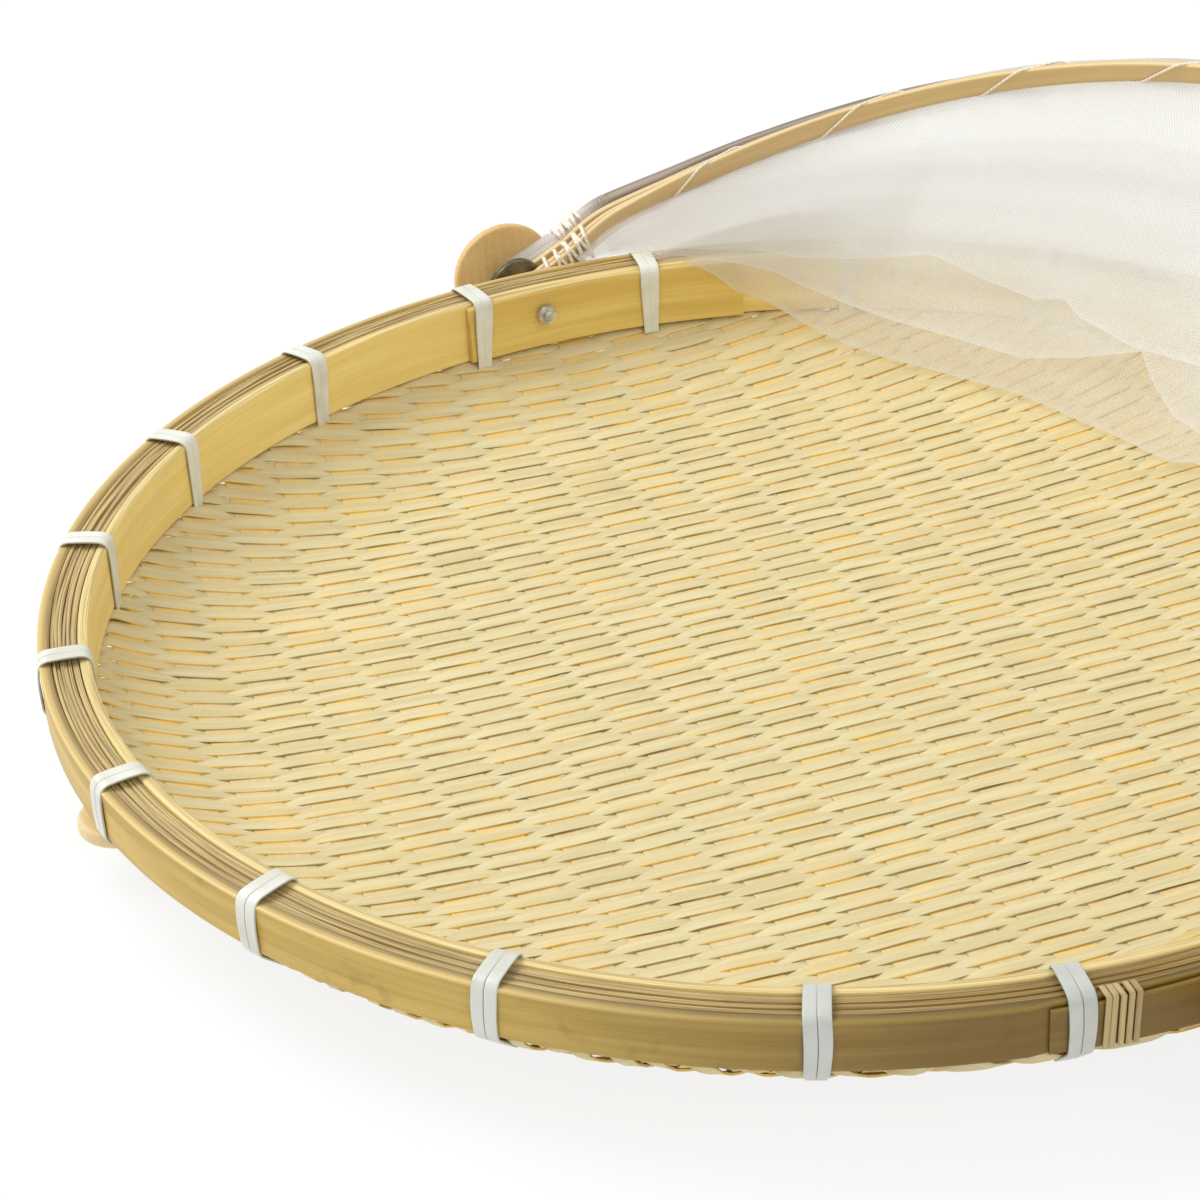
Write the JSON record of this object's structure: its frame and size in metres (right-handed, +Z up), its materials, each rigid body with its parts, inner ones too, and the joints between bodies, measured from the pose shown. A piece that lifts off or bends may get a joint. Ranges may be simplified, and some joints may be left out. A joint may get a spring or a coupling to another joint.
{
  "type": "covered bamboo basket",
  "caption": "Round shallow woven bamboo tray with a folding gauze cover on bent ribs hinged at both sides of its rim",
  "frame": {"origin": "Middle of the flat belly of the woven floor, on the surface it stands on", "axes": "+X along the two hinge bolts to the right, +Y to the back where the cover folds, +Z up"},
  "size_m": [0.4533, 0.4, 0.1216],
  "materials": {
    "weave": "split bamboo, satin",
    "hoop": "smooth golden bamboo slat",
    "outer_hoop": "smooth bamboo slat",
    "filler": "rough bamboo strip",
    "binding": "flat white strap",
    "cane": "split cane",
    "rib": "bent bamboo slat, satin",
    "pale_wood": "turned wood, uncoated",
    "thread": "off-white cotton",
    "gauze": "open white gauze",
    "zinc_steel": "zinc plated",
    "dark_steel": "dark bronze tone"
  },
  "bodies": {
    "tray": {"woven_mat": "weave", "inner_hoop": "hoop", "outer_hoop": "outer_hoop", "filler_strip_over_mat": "filler", "filler_strip_1": "filler", "filler_strip_2": "filler", "filler_strip_3": "filler", "rim_binding_01": "binding", "rim_binding_02": "binding", "rim_binding_03": "binding", "rim_binding_04": "binding", "rim_binding_05": "binding", "rim_binding_06": "binding", "rim_binding_07": "binding", "rim_binding_08": "binding", "rim_binding_09": "binding", "rim_binding_10": "binding", "rim_binding_11": "binding", "rim_binding_12": "binding", "rim_binding_13": "binding", "rim_binding_14": "binding", "rim_binding_15": "binding", "rim_binding_16": "binding", "rim_binding_17": "binding", "rim_binding_18": "binding", "rim_binding_19": "binding", "rim_binding_20": "binding", "cane_lashing": "cane", "front_tab": "pale_wood", "front_tab_nail": "zinc_steel", "hinge_pad_left": "hoop", "hinge_pad_right": "hoop", "hinge_bolt_left": "zinc_steel", "hinge_bolt_right": "zinc_steel", "hinge_nut_left": "zinc_steel", "hinge_nut_right": "zinc_steel", "hinge_inner_washer_left": "dark_steel", "hinge_inner_washer_right": "dark_steel", "hinge_outer_washer_left": "dark_steel", "hinge_outer_washer_right": "dark_steel", "hinge_disc_left": "pale_wood", "hinge_disc_right": "pale_wood", "gauze_back_panel": "gauze"},
    "back_frame": {"back_rib": "rib", "back_rib_sleeve": "gauze", "back_rib_tie_left": "thread", "back_rib_tie_right": "thread", "gauze_middle_panel": "gauze"},
    "middle_frame": {"middle_rib": "rib", "gauze_front_panel": "gauze"},
    "front_frame": {"front_rib_inner_slat": "rib", "front_rib_outer_slat": "rib", "front_rib_thread": "thread", "front_rib_end_winding_left": "thread", "front_rib_end_winding_right": "thread", "gauze_lower_drape": "gauze", "gauze_middle_drape": "gauze", "gauze_upper_drape": "gauze"}
  },
  "joints": [
    {"name": "back_rib_hinge", "type": "hinge", "parent": "tray", "child": "back_frame", "pos_m": [0, 0, 0.0317], "axis": [1, 0, 0], "range_deg": [0, 49.5], "deforming": ["gauze_back_panel"]},
    {"name": "middle_rib_hinge", "type": "hinge", "parent": "back_frame", "child": "middle_frame", "pos_m": [0, 0, 0.0317], "axis": [1, 0, 0], "range_deg": [0, 49.5], "deforming": ["gauze_middle_panel"]},
    {"name": "front_rib_hinge", "type": "hinge", "parent": "middle_frame", "child": "front_frame", "pos_m": [0, 0, 0.0317], "axis": [1, 0, 0], "range_deg": [0, 49.5], "deforming": ["gauze_front_panel", "gauze_lower_drape", "gauze_middle_drape", "gauze_upper_drape"]}
  ],
  "couplings": [
    {"joint": "middle_rib_hinge", "follows": "back_rib_hinge", "ratio": 1},
    {"joint": "front_rib_hinge", "follows": "back_rib_hinge", "ratio": 1}
  ]
}
